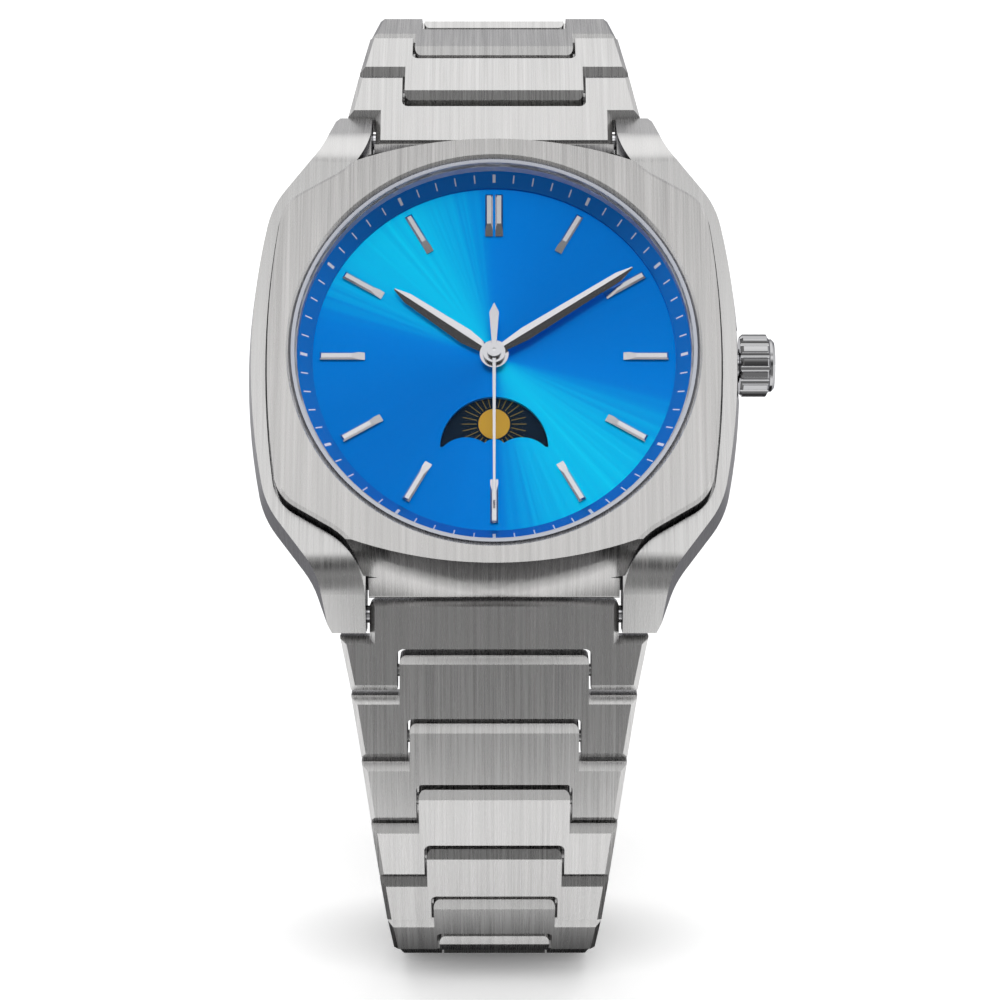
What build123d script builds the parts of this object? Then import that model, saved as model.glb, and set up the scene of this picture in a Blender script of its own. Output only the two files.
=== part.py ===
from build123d import *
from math import acos, atan2, cos, degrees, hypot, pi, radians, sin, sqrt
import os

# Driving dimensions, in millimetres and degrees.
# Every piece of the head is drawn in the dial frame: X towards 3 o'clock,
# Y towards 12 o'clock, Z out of the dial, zero on the middle of the dial's face.

# Case middle: wall outline seen from the front, first quadrant
case_width = 40.0
case_shoulder_x = 18.5
case_shoulder_y = 13.0
case_shoulder_fillet = 8.0
case_waist_x = 14.45
case_waist_y = 18.4
case_waist_fillet = 8.0
case_tip_x = 12.65
case_tip_y = 23.5
case_wall_lean = 7.5
case_under_lean = 14.0
case_lean_start_z = -2.2
case_top_z = 1.0
case_bottom_z = -5.2
lug_to_lug = 44.7
lug_tip_z = -2.75
lug_end_depth = 3.1
lug_fall_start_y = 16.7
lug_fall_radius = 4.5
lug_under_start_y = 17.6
lug_gap = 20.4
band_wall_y = 18.1
case_bore_radius = 16.25
crown_flat_depth = 0.35
crown_flat_width = 6.2

# Bezel block: nest outline that the case is recessed to, first quadrant
nest_width = 36.84
nest_shoulder_x = 17.33
nest_shoulder_y = 12.69
nest_shoulder_fillet = 3.6
nest_neck_y = 16.9
nest_neck_fillet = 6.0
nest_floor_z = -0.8
groove_width = 0.22
bezel_top_z = 2.6
bezel_edge_bevel = 0.28
bezel_bore_radius = 16.3
bezel_bore_bevel = 0.38
bezel_arc_y = 18.05
bezel_arc_radius = 33.6
apron_end_y = 19.6
apron_end_z = -1.95
apron_lip = 0.2
apron_foot_bow = 0.12
apron_mid_z = 0.2
apron_mid_share = 0.3
apron_reach = 14.0

# Crystal, gasket, chapter ring and dial
crystal_radius = 16.0
crystal_thickness = 1.0
crystal_bevel = 0.25
gasket_foot_radius = 15.85
gasket_wall_height = 0.5
chapter_inner_radius = 14.7
chapter_height = 1.05
chapter_lip = 0.15
crystal_seat_height = 0.9
dial_radius = 16.2
dial_thickness = 0.4
dial_centre_hole_radius = 0.85

# Moon phase window and disc
moon_axis_y = -7.77
window_radius = 4.35
window_floor_y = -7.67
hump_radius = 2.52
hump_x = 2.25
hump_centre_y = -9.38
centre_hump_radius = 1.04
centre_hump_y = -8.04
moon_disc_radius = 4.6
moon_disc_thickness = 0.25
moon_disc_gap = 0.15
moon_radius = 1.275
moon_orbit = 2.22
moon_foil_thickness = 0.05
moon_hub_radius = 0.4
moon_hub_length = 0.9

# Hour markers
marker_outer_radius = 14.1
marker_length = 3.65
marker_width = 0.63
marker_height = 0.42
marker_bevel = 0.14
marker_slope_share = 0.28
marker_low_height = 0.16
marker_pair_gap = 0.2
hour_count = 12

# Hands, set to nine and a half minutes past ten
hour_hand_angle = 304.75
minute_hand_angle = 57.0
seconds_hand_angle = 180.0
hour_hand_length = 9.85
hour_hand_width = 1.36
hour_hand_widest = 2.8
hour_hand_z = 0.34
hour_hand_height = 0.36
hour_collet_radius = 1.165
hour_collet_height = 0.66
hour_collet_z = 0.1
minute_hand_length = 13.4
minute_hand_width = 1.16
minute_hand_widest = 3.0
minute_hand_z = 0.88
minute_hand_height = 0.32
minute_boss_radius = 0.9
minute_boss_height = 0.38
seconds_hand_length = 12.6
seconds_tail_length = 4.13
seconds_tail_widest = 3.3
seconds_tail_width = 0.78
seconds_hand_width = 0.27
seconds_tip_width = 0.18
seconds_hand_z = 1.38
seconds_hand_height = 0.14
seconds_boss_radius = 0.57
seconds_boss_height = 0.36
hand_neck_width = 0.56
hand_tip_width = 0.14
hand_edge_height = 0.1
hand_taper_share = 0.55
hand_point_share = 0.45
boss_fill_share = 0.8

# Motion work under the dial
hour_tube_radius = 0.75
hour_wheel_radius = 2.9
hour_wheel_thickness = 0.25
cannon_radius = 0.45
seconds_arbor_radius = 0.15
tube_clearance = 0.05
wheel_gap = 0.1
cannon_foot = 1.6
arbor_foot = 2.4

# Movement, holder and battery
movement_radius = 13.2
movement_top_z = -1.0
movement_bottom_z = -3.6
bridge_thickness = 0.35
holder_seat_z = -3.95
centre_well_radius = 0.75
battery_radius = 4.75
battery_thickness = 1.9
battery_x = -6.2
battery_y = 4.4
coil_radius = 0.95
coil_core_radius = 0.4
coil_length = 6.6
coil_core_length = 9.0
coil_x = 4.6
coil_y = 7.0
pocket_clearance = 0.12

# Case back
back_radius = 17.4
back_bottom_z = -6.9
back_bevel = 0.6
back_floor = 0.9
back_spigot_outer_radius = 16.2
back_spigot_inner_radius = 14.9
back_notch_count = 6
back_notch_width = 2.4
back_notch_length = 1.5
back_notch_depth = 0.55
back_gasket_outer_radius = 17.0
back_gasket_inner_radius = 16.4
back_gasket_height = 0.35

# Crown, stem and setting lever
crown_axis_z = -2.1
crown_radius = 2.55
crown_length = 2.4
crown_cap_radius = 2.15
crown_cap_length = 0.42
crown_bevel = 0.24
crown_gap = 0.3
crown_flutes = 14
flute_radius = 0.34
flute_depth = 0.26
crown_travel = 1.0
crown_well_radius = 1.4
crown_well_depth = 1.7
crown_tube_radius = 1.05
crown_tube_bore = 0.55
crown_tube_start_x = 16.3
crown_tube_stand_out = 1.1
stem_radius = 0.45
stem_start_x = 6.4
stem_thread_length = 0.4
lever_x = 9.4
lever_thickness = 0.5
lever_width = 2.0
lever_reach_y = 3.2
lever_half_height = 0.72
lever_neck_radius = 0.28
stem_clearance = 0.06

# Bracelet links: pivots on the middle of the thickness
link_pitch = 5.5
link_thickness = 3.0
link_knuckle = 1.45
link_play = 0.4
link_side_gap = 0.2
link_ear_width = 3.7
link_corner_fillet = 0.5
link_shoulder_bevel = 0.6
link_end_bevel = 0.42
link_side_bevel = 0.42
link_fill = 1.0
pin_radius = 0.5
pin_clearance = 0.05
pin_recess = 0.25
band_width_at_lugs = 24.6
band_width_at_clasp = 16.0
band_taper_links = 9
band_taper_power = 1.9
lug_end_tilt = 22.0
end_link_tilts = {1: 10.0, -1: 22.0}
end_link_bar_back = 1.35
end_link_gap = 0.3
end_link_front = 1.2
end_link_length = 4.5
end_link_side_gap = 0.28
end_link_front_bevel = 0.42
lug_bar_radius = 0.7
lug_bar_seat = 1.3

# Closed shape of the bracelet: each link's tilt away from the dial plane, from the case outwards.
# The watch stands on the flat of two links of the 6 o'clock side, tilted back by this much.
stand_tilt = 30.0
foot_tilt = 90.0 + stand_tilt
foot_link = 8
six_side_tilts = [29.6, 36.3, 46.9, 58.1, 72.5, 92.9, 106.5, foot_tilt, foot_tilt, 139.8, 154.6, 168.8]
twelve_side_tilts = [27.8, 45.1, 66.3, 79.6, 92.5, 104.8, 116.5, 127.6, 138.1, 148.1, 157.8, 167.3]

# Folding clasp, drawn along its cover from the last 6 o'clock link's pin
cover_width = 16.0
cover_plate = 1.0
cover_crown = 0.8
cover_wall = 1.0
cover_root = 1.6
blade_thickness = 0.75
blade_width = 10.0
fold_barrel_radius = 0.8
fold_pin_radius = 0.4
fold_gap = 0.25
near_fold_share = 0.16
blade_knuckle_share = 0.4
far_fold_back = 4.0
blade_eye_radius = 1.4
eye_bar_radius = 0.5
blade_rise_back = 2.8
blade_neck_width = 7.2
pusher_radius = 0.8
pusher_flange_radius = 0.95
pusher_flange = 0.55
pusher_stand_out = 0.9
pusher_travel = 0.6
pusher_share = 0.55
across_share = 0.5
nose_clearance = 0.6
nose_start_back = 1.6

# Small named values that serve all cuts
overrun = 1.0
far = 60.0


def disc(radius, low, high, x=0.0, y=0.0):
    return Pos(x, y, low) * extrude(Circle(radius), high - low)


def ring(outer, inner, low, high):
    return Pos(0, 0, low) * extrude(Circle(outer) - Circle(inner), high - low)


def rod_x(radius, start, end, y, z):
    """A round bar along X."""
    return Pos(start, y, z) * Rot(0, 90, 0) * extrude(Circle(radius), end - start)


def side_prism(outline, half_width):
    """A solid whose outline is drawn in Y and Z, made half_width to each side of the middle."""
    return extrude(Plane.YZ * outline, amount=half_width, both=True)


def block(x0, x1, y0, y1, z0, z1):
    shape = Box(x1 - x0, y1 - y0, z1 - z0, align=(Align.MIN, Align.MIN, Align.MIN))
    return Pos(x0, y0, z0) * shape


def near_points(shape, x, y):
    """The corners of a flat outline at (x, y) and its mirror images."""
    def hit(v):
        return abs(abs(v.X) - x) < groove_width and abs(abs(v.Y) - y) < groove_width
    return [v for v in shape.vertices() if hit(v)]


def cushion(width, shoulder, waist, tip, shoulder_fillet, waist_fillet):
    """A cushion outline with bowed sides that narrows to a neck at 12 and 6 o'clock."""
    (sx, sy), (wx, wy), (tx, ty) = shoulder, waist, tip
    right = ThreePointArc((sx, -sy), (width / 2, 0), (sx, sy))
    top = Polyline((sx, sy), (wx, wy), (tx, ty), (-tx, ty), (-wx, wy), (-sx, sy))
    left = ThreePointArc((-sx, sy), (-width / 2, 0), (-sx, -sy))
    bottom = Polyline((-sx, -sy), (-wx, -wy), (-tx, -ty), (tx, -ty), (wx, -wy), (sx, -sy))
    outline = make_face([right, top, left, bottom])
    outline = fillet(near_points(outline, sx, sy), shoulder_fillet)
    return fillet(near_points(outline, wx, wy), waist_fillet)


# Directions along and out of a band link that leaves the case at a tilt, on the 12 o'clock side (1)
# or the 6 o'clock side (-1), as (y, z) pairs
def along(tilt, side):
    return side * cos(radians(tilt)), -sin(radians(tilt))


def outward(tilt, side):
    return side * sin(radians(tilt)), cos(radians(tilt))


def step(point, *moves):
    y, z = point
    for (dy, dz), length in moves:
        y += dy * length
        z += dz * length
    return y, z


lug_tip = (lug_to_lug / 2, lug_tip_z)
lug_heel = step(lug_tip, (outward(lug_end_tilt, 1), -lug_end_depth))
lug_bar = step(
    lug_tip,
    (along(lug_end_tilt, 1), -end_link_bar_back),
    (outward(lug_end_tilt, 1), -link_thickness / 2),
)


def case_side_profile():
    """The case seen from 3 o'clock: flat top and underside, lugs that bend over to their tips."""
    bend_z = case_top_z - lug_fall_radius
    reach, rise = lug_tip[0] - lug_fall_start_y, lug_tip[1] - bend_z
    end_turn = atan2(rise, reach) + acos(lug_fall_radius / hypot(reach, rise))
    bend = []
    for turn in ((end_turn + pi / 2) / 2, end_turn):
        bend.append((lug_fall_start_y + lug_fall_radius * cos(turn), bend_z + lug_fall_radius * sin(turn)))
    (mid_y, mid_z), (end_y, end_z) = bend
    top = Line((-lug_fall_start_y, case_top_z), (lug_fall_start_y, case_top_z))
    falls = []
    for s in (1, -1):
        start = (s * lug_fall_start_y, case_top_z)
        falls.append(ThreePointArc(start, (s * mid_y, mid_z), (s * end_y, end_z)))
        falls.append(Line((s * end_y, end_z), (s * lug_tip[0], lug_tip[1])))
    under = Polyline(
        lug_tip,
        lug_heel,
        (lug_under_start_y, case_bottom_z),
        (-lug_under_start_y, case_bottom_z),
        (-lug_heel[0], lug_heel[1]),
        (-lug_tip[0], lug_tip[1]),
    )
    return make_face([top, *falls, under])


def nest_outline(inset):
    """The outline of the bezel's nest in the case, drawn inwards by an inset."""
    outline = cushion(
        nest_width,
        (nest_shoulder_x, nest_shoulder_y),
        (lug_gap / 2, nest_neck_y),
        (lug_gap / 2, case_tip_y + overrun),
        nest_shoulder_fillet,
        nest_neck_fillet,
    )
    return offset(outline, -inset) if inset else outline


def case_middle():
    outline = cushion(
        case_width,
        (case_shoulder_x, case_shoulder_y),
        (case_waist_x, case_waist_y),
        (case_tip_x, case_tip_y),
        case_shoulder_fillet,
        case_waist_fillet,
    )
    lowest = lug_heel[1] - overrun
    brow = extrude(outline, case_top_z - case_lean_start_z, taper=case_wall_lean)
    under = extrude(outline, case_lean_start_z - lowest, dir=(0, 0, -1), taper=case_under_lean)
    body = Pos(0, 0, case_lean_start_z) * (brow + under)
    body &= side_prism(case_side_profile(), case_width)
    body -= Pos(0, 0, nest_floor_z) * extrude(nest_outline(0), far)
    for side in (1, -1):
        y0, y1 = sorted((side * band_wall_y, side * far))
        body -= block(-lug_gap / 2, lug_gap / 2, y0, y1, -far, far)
    body -= disc(case_bore_radius, -far, far)
    body -= rod_x(crown_tube_radius, 0, far, 0, crown_axis_z)
    body -= rod_x(crown_flat_width / 2, case_width / 2 - crown_flat_depth, far, 0, crown_axis_z)
    bar_end = lug_gap / 2 + lug_bar_seat
    for side in (1, -1):
        body -= rod_x(lug_bar_radius, -bar_end, bar_end, side * lug_bar[0], lug_bar[1])
    return body


def apron_section(height, middle_y, end_y):
    """The space in front of the apron at one height: from its bowed edge outwards."""
    edge = ThreePointArc((-apron_reach, end_y), (0, middle_y), (apron_reach, end_y))
    rest = Polyline((apron_reach, end_y), (apron_reach, far), (-apron_reach, far), (-apron_reach, end_y))
    return Pos(0, 0, height) * make_face([edge, rest])


def bezel():
    """One block: the brushed cushion plate, with a hollow apron that falls to each end link."""
    block_outline = nest_outline(groove_width) & Rectangle(far, 2 * apron_end_y)
    low = apron_end_z - apron_lip
    body = Pos(0, 0, low) * extrude(block_outline, bezel_top_z - low)
    rim = body.faces().sort_by(Axis.Z)[-1].edges()
    rim = [e for e in rim if abs(e.center().Y) < apron_end_y - groove_width]
    body = chamfer(rim, bezel_edge_bevel)
    top_end_y = bezel_arc_y - bezel_arc_radius + sqrt(bezel_arc_radius**2 - apron_reach**2)
    mid_y = bezel_arc_y + (apron_end_y - bezel_arc_y) * apron_mid_share
    mid_end_y = top_end_y + (apron_end_y - top_end_y) * apron_mid_share
    cutter = loft(
        [
            apron_section(apron_end_z, apron_end_y, apron_end_y - apron_foot_bow),
            apron_section(apron_mid_z, mid_y, mid_end_y),
            apron_section(bezel_top_z + overrun / 4, bezel_arc_y, top_end_y),
        ]
    )
    body -= cutter
    body -= mirror(cutter, Plane.XZ)
    skirt_half = lug_gap / 2 - groove_width
    below = block(-far, far, -far, far, -far, nest_floor_z)
    for side in (1, -1):
        y0, y1 = sorted((side * (band_wall_y + groove_width), side * far))
        below -= block(-skirt_half, skirt_half, y0, y1, -far, nest_floor_z)
    body -= below
    body -= disc(bezel_bore_radius, -far, far)
    flare = Pos(0, 0, bezel_top_z - bezel_bore_bevel) * Cone(
        bezel_bore_radius,
        bezel_bore_radius + bezel_bore_bevel + overrun,
        bezel_bore_bevel + overrun,
        align=(Align.CENTER, Align.CENTER, Align.MIN),
    )
    return body - flare


crystal_bottom_z = chapter_height + crystal_seat_height
crystal_top_z = crystal_bottom_z + crystal_thickness


def crystal():
    glass = disc(crystal_radius, crystal_bottom_z, crystal_top_z)
    return chamfer(glass.faces().sort_by(Axis.Z)[-1].edges(), crystal_bevel)


def crystal_gasket():
    foot = ring(bezel_bore_radius, gasket_foot_radius, chapter_height, crystal_bottom_z)
    wall_top = crystal_bottom_z + gasket_wall_height
    return foot + ring(bezel_bore_radius, crystal_radius, chapter_height, wall_top)


def chapter_ring():
    """The ring of minutes: a cone that falls from the crystal's seat to a thin lip on the dial."""
    section = Polygon(
        (chapter_inner_radius, 0),
        (dial_radius, 0),
        (dial_radius, chapter_height),
        (gasket_foot_radius, chapter_height),
        (chapter_inner_radius, chapter_lip),
    )
    return revolve(Plane.XZ * section, Axis.Z)


def moon_window():
    """The crescent-ended window: half a round with two humps that hide the moons."""
    window = Pos(0, moon_axis_y) * Circle(window_radius)
    window &= Pos(0, window_floor_y + window_radius) * Rectangle(2 * window_radius, 2 * window_radius)
    for side in (1, -1):
        window -= Pos(side * hump_x, hump_centre_y) * Circle(hump_radius)
    return window - Pos(0, centre_hump_y) * Circle(centre_hump_radius)


def dial():
    plate = Circle(dial_radius) - Circle(dial_centre_hole_radius) - moon_window()
    return Pos(0, 0, -dial_thickness) * extrude(plate, dial_thickness)


def marker_bar():
    """One applied bar along Y from its inner end, with bevelled flanks and a sloped inner facet."""
    tip = marker_length
    slope = marker_length * marker_slope_share
    side_view = Polygon(
        (0, 0), (tip, 0), (tip, marker_height - marker_bevel), (tip - marker_bevel, marker_height),
        (slope, marker_height), (0, marker_low_height),
    )
    half = marker_width / 2
    end_view = Polygon(
        (-half, 0), (half, 0), (half, marker_height - marker_bevel), (half - marker_bevel, marker_height),
        (marker_bevel - half, marker_height), (-half, marker_height - marker_bevel),
    )
    return side_prism(side_view, half) & extrude(Plane.XZ * end_view, amount=-tip)


def hour_markers():
    bars = []
    inner = marker_outer_radius - marker_length
    for hour in range(hour_count):
        turn = Rot(0, 0, -360 * hour / hour_count)
        offsets = [0.0]
        if hour == 0:
            half_step = (marker_width + marker_pair_gap) / 2
            offsets = [-half_step, half_step]
        bars += [turn * Pos(x, inner, 0) * marker_bar() for x in offsets]
    return bars


def roofed_hand(outline, width, low, height):
    """A hand cut from a bar with a ridge along its middle."""
    half = width / 2
    roof = Polygon((-half, 0), (half, 0), (half, hand_edge_height), (0, height), (-half, hand_edge_height))
    length = 2 * minute_hand_length
    bar = extrude(Plane.XZ * roof, amount=length / 2, both=True)
    return Pos(0, 0, low) * (extrude(outline, height) & bar)


def leaf_outline(length, widest, width):
    """A leaf that widens from a narrow neck and then tapers to a cut point."""
    neck, half, tip = hand_neck_width / 2, width / 2, hand_tip_width / 2
    cut, cut_y = tip + half * hand_taper_share, length - widest * hand_point_share
    return Polygon(
        (-neck, 0), (neck, 0), (half, widest), (cut, cut_y),
        (tip, length), (-tip, length), (-cut, cut_y), (-half, widest),
    )


def turned(shape, clock_angle):
    return Rot(0, 0, -clock_angle) * shape


def hour_hand():
    blade = roofed_hand(
        leaf_outline(hour_hand_length, hour_hand_widest, hour_hand_width),
        hour_hand_width, hour_hand_z, hour_hand_height,
    )
    collet = disc(hour_collet_radius, hour_collet_z, hour_collet_z + hour_collet_height)
    bore = disc(hour_tube_radius, -far, far)
    return turned(blade + collet - bore, hour_hand_angle)


def minute_hand():
    blade = roofed_hand(
        leaf_outline(minute_hand_length, minute_hand_widest, minute_hand_width),
        minute_hand_width, minute_hand_z, minute_hand_height,
    )
    boss = disc(minute_boss_radius, minute_hand_z, minute_hand_z + minute_boss_height)
    bore = disc(cannon_radius, -far, far)
    return turned(blade + boss - bore, minute_hand_angle)


def seconds_hand():
    half, tip = seconds_hand_width / 2, seconds_tip_width / 2
    needle = Polygon((-half, 0), (half, 0), (tip, seconds_hand_length), (-tip, seconds_hand_length))
    tail_half = seconds_tail_width / 2
    tail = Polygon(
        (-half, 0), (-tail_half, -seconds_tail_widest), (0, -seconds_tail_length),
        (tail_half, -seconds_tail_widest), (half, 0),
    )
    blade = Pos(0, 0, seconds_hand_z) * extrude(needle + tail, seconds_hand_height)
    boss = disc(seconds_boss_radius, seconds_hand_z, seconds_hand_z + seconds_boss_height)
    bore = disc(seconds_arbor_radius, -far, far)
    return turned(blade + boss - bore, seconds_hand_angle)


hour_wheel_top_z = -dial_thickness - wheel_gap
cannon_low_z = movement_top_z - cannon_foot
arbor_low_z = movement_top_z - arbor_foot


def hour_wheel():
    tube = ring(
        hour_tube_radius, cannon_radius + tube_clearance,
        hour_wheel_top_z - hour_wheel_thickness, hour_collet_z + hour_collet_height,
    )
    wheel = ring(
        hour_wheel_radius, cannon_radius + tube_clearance,
        hour_wheel_top_z - hour_wheel_thickness, hour_wheel_top_z,
    )
    return tube + wheel


def cannon_pinion():
    return ring(
        cannon_radius, seconds_arbor_radius + tube_clearance,
        cannon_low_z, minute_hand_z + minute_boss_height,
    )


def seconds_arbor():
    return disc(seconds_arbor_radius, arbor_low_z, seconds_hand_z + seconds_boss_height * boss_fill_share)


moon_disc_top_z = -dial_thickness - moon_disc_gap
moon_disc_low_z = moon_disc_top_z - moon_disc_thickness


def moon_disc():
    plate = disc(moon_disc_radius, moon_disc_low_z, moon_disc_top_z, 0, moon_axis_y)
    return plate + disc(moon_hub_radius, moon_disc_low_z - moon_hub_length, moon_disc_low_z, 0, moon_axis_y)


def moon_foils():
    """Two gold moons, half a turn apart, laid on the disc."""
    top = moon_disc_top_z + moon_foil_thickness
    return [disc(moon_radius, moon_disc_top_z, top, 0, moon_axis_y + s * moon_orbit) for s in (1, -1)]


stem_end_x = case_width / 2 - crown_flat_depth + crown_gap + crown_well_depth + stem_thread_length


def movement_mainplate():
    body = disc(movement_radius, movement_bottom_z, movement_top_z)
    body -= disc(centre_well_radius, cannon_low_z - wheel_gap, far)
    body -= disc(seconds_arbor_radius + tube_clearance, arbor_low_z - wheel_gap, far)
    hub_foot = moon_disc_low_z - moon_hub_length - wheel_gap
    body -= disc(moon_hub_radius + tube_clearance, hub_foot, far, 0, moon_axis_y)
    battery_top = movement_bottom_z + battery_thickness
    body -= disc(battery_radius + pocket_clearance, -far, battery_top, battery_x, battery_y)
    coil_half = coil_core_length / 2 + pocket_clearance
    coil_room = coil_radius + pocket_clearance
    body -= block(
        coil_x - coil_half, coil_x + coil_half, coil_y - coil_room, coil_y + coil_room,
        -far, movement_bottom_z + 2 * coil_room,
    )
    body -= rod_x(stem_radius + stem_clearance, stem_start_x - stem_clearance, far, 0, crown_axis_z)
    room = lever_half_height + pocket_clearance
    return body - block(
        lever_x - pocket_clearance, lever_x + lever_thickness + crown_travel + pocket_clearance,
        -lever_width / 2 - pocket_clearance, lever_reach_y + pocket_clearance,
        crown_axis_z - room, crown_axis_z + room,
    )


def movement_bridge():
    """The plate that closes the movement from behind, open over the battery."""
    plate = disc(movement_radius, movement_bottom_z - bridge_thickness, movement_bottom_z)
    return plate - disc(battery_radius + pocket_clearance, -far, far, battery_x, battery_y)


def battery():
    top = movement_bottom_z + battery_thickness
    can = disc(battery_radius, movement_bottom_z - bridge_thickness, top, battery_x, battery_y)
    return chamfer(can.faces().sort_by(Axis.Z)[0].edges(), pocket_clearance)


def motor_coil():
    z = movement_bottom_z + coil_radius + pocket_clearance
    core = rod_x(coil_core_radius, coil_x - coil_core_length / 2, coil_x + coil_core_length / 2, coil_y, z)
    return core + rod_x(coil_radius, coil_x - coil_length / 2, coil_x + coil_length / 2, coil_y, z)


def movement_holder():
    body = ring(dial_radius, movement_radius, holder_seat_z, -dial_thickness)
    return body - rod_x(stem_radius + stem_clearance, 0, far, 0, crown_axis_z)


def back_notch(index):
    spread = Rot(0, 0, 360 * index / back_notch_count)
    cut = block(
        -back_notch_width / 2, back_notch_width / 2,
        back_radius - back_notch_length, back_radius + overrun,
        back_bottom_z - overrun, back_bottom_z + back_notch_depth,
    )
    return spread * cut


def case_back():
    plate = disc(back_radius, back_bottom_z, case_bottom_z)
    plate = chamfer(plate.faces().sort_by(Axis.Z)[0].edges(), back_bevel)
    plate += ring(back_spigot_outer_radius, back_spigot_inner_radius, case_bottom_z, holder_seat_z)
    plate -= disc(back_spigot_inner_radius, back_bottom_z + back_floor, far)
    plate -= case_back_gasket()
    for index in range(back_notch_count):
        plate -= back_notch(index)
    return plate


def case_back_gasket():
    low = case_bottom_z - back_gasket_height
    return ring(back_gasket_outer_radius, back_gasket_inner_radius, low, case_bottom_z)


case_flat_x = case_width / 2 - crown_flat_depth
crown_start_x = case_flat_x + crown_gap
crown_end_x = crown_start_x + crown_length


def crown():
    """A fluted barrel with a smaller cap, hollow at the back where the case tube enters it."""
    half_view = Polygon(
        (crown_start_x, 0),
        (crown_start_x, crown_radius - crown_bevel),
        (crown_start_x + crown_bevel, crown_radius),
        (crown_end_x - crown_bevel, crown_radius),
        (crown_end_x, crown_cap_radius),
        (crown_end_x + crown_cap_length / 2, crown_cap_radius),
        (crown_end_x + crown_cap_length, crown_cap_radius - crown_bevel),
        (crown_end_x + crown_cap_length, 0),
    )
    body = revolve(Plane.XY * half_view, Axis.X)
    for index in range(crown_flutes):
        groove = rod_x(
            flute_radius, crown_start_x - overrun, crown_end_x + overrun,
            0, crown_radius + flute_radius - flute_depth,
        )
        body -= Rot(360 * index / crown_flutes, 0, 0) * groove
    body = Pos(0, 0, crown_axis_z) * body
    cap = rod_x(crown_cap_radius, crown_end_x, crown_end_x + crown_cap_length / 2, 0, crown_axis_z)
    body += cap
    body -= rod_x(crown_well_radius, 0, crown_start_x + crown_well_depth, 0, crown_axis_z)
    return body - rod_x(stem_radius, 0, stem_end_x, 0, crown_axis_z)


def crown_stem():
    body = rod_x(stem_radius, stem_start_x, stem_end_x, 0, crown_axis_z)
    low, high = lever_x - stem_clearance, lever_x + lever_thickness + stem_clearance
    neck = rod_x(stem_radius + overrun, low, high, 0, crown_axis_z)
    return body - neck + rod_x(lever_neck_radius, low, high, 0, crown_axis_z)


def crown_tube():
    end = case_width / 2 - crown_flat_depth + crown_tube_stand_out
    body = rod_x(crown_tube_radius, crown_tube_start_x, end, 0, crown_axis_z)
    return body - rod_x(crown_tube_bore, 0, far, 0, crown_axis_z)


def setting_lever():
    """The lever that sits in the stem's groove and slides out with it."""
    plate = block(
        lever_x, lever_x + lever_thickness, -lever_width / 2, lever_reach_y,
        crown_axis_z - lever_half_height, crown_axis_z + lever_half_height,
    )
    return plate - rod_x(lever_neck_radius + tube_clearance, 0, far, 0, crown_axis_z)


def lug_bars():
    end = lug_gap / 2 + lug_bar_seat
    return [rod_x(lug_bar_radius, -end, end, side * lug_bar[0], lug_bar[1]) for side in (1, -1)]


# Bracelet links. Each is drawn flat from its own upper pivot: X across, Y away from the case, Z outwards.

half_thick = link_thickness / 2
link_stand_off = link_knuckle + link_play


def band_width(index):
    """Width of the bracelet at the shoulder of a link, counted from the end link (0)."""
    left = max(0.0, 1 - index / band_taper_links)
    return band_width_at_clasp + (band_width_at_lugs - band_width_at_clasp) * left**band_taper_power


def notch_width(index):
    return band_width(index + 1) - 2 * link_ear_width


def tongue_width(index):
    return notch_width(index - 1) - 2 * link_side_gap


def bevelled_profile(start, end, start_bevel, end_bevel):
    """A link seen from the side, with all four ends of its thickness bevelled."""
    h = half_thick
    return Polygon(
        (start, start_bevel - h), (start + start_bevel, -h), (end - end_bevel, -h), (end, end_bevel - h),
        (end, h - end_bevel), (end - end_bevel, h), (start + start_bevel, h), (start, h - start_bevel),
    )


def plan_prism(outline):
    return extrude(outline, amount=half_thick, both=True)


def long_edges(face):
    """The edges of a face that run along the bracelet."""
    return [e for e in face.edges() if abs(e.tangent_at(0).Y) > abs(e.tangent_at(0).X)]


def tapered_plate(start, end, start_width, end_width, start_bevel):
    """The full-width part of a link, with bevelled ends and long edges."""
    outline = Polygon(
        (-start_width / 2, start), (start_width / 2, start), (end_width / 2, end), (-end_width / 2, end),
    )
    plate = plan_prism(outline) & side_prism(
        bevelled_profile(start, end, start_bevel, link_end_bevel), band_width_at_lugs
    )
    return chamfer(long_edges(plate.faces().sort_by(Axis.Z)[-1]), link_side_bevel)


def rounded_end(width, start, end):
    """A straight-sided strip with its two corners at the start rounded."""
    outline = Polygon((-width / 2, start), (width / 2, start), (width / 2, end), (-width / 2, end))
    corners = [v for v in outline.vertices() if v.Y < (start + end) / 2]
    return fillet(corners, link_corner_fillet)


def knuckle_tongue(width, root):
    """The tongue that enters the notch of the link before, carrying the pin hole."""
    strip = plan_prism(rounded_end(width, -link_knuckle, root))
    profile = bevelled_profile(-link_knuckle, root + link_end_bevel, link_shoulder_bevel, link_end_bevel)
    strip &= side_prism(profile, band_width_at_lugs)
    return strip - rod_x(pin_radius + pin_clearance, -far, far, 0, 0)


def cut_notch(plate, width, pivot, end):
    notch = plan_prism(rounded_end(width, pivot - link_stand_off, end + overrun))
    plate -= notch
    return plate - rod_x(pin_radius, -far, far, pivot, 0)


def pin_across(width, pivot):
    return rod_x(pin_radius, -width / 2 + pin_recess, width / 2 - pin_recess, pivot, 0)


def band_link(index, pinned=True):
    """A link and the pin that joins it to the next one. The last link before the clasp has only holes."""
    ear_end = link_pitch + link_knuckle
    plate = tapered_plate(
        link_stand_off, ear_end, band_width(index), band_width(index + 1), link_shoulder_bevel
    )
    plate = cut_notch(plate, notch_width(index), link_pitch, ear_end)
    body = plate + knuckle_tongue(tongue_width(index), link_stand_off + link_fill)
    return [body, pin_across(band_width(index + 1), link_pitch)] if pinned else [body]


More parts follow.
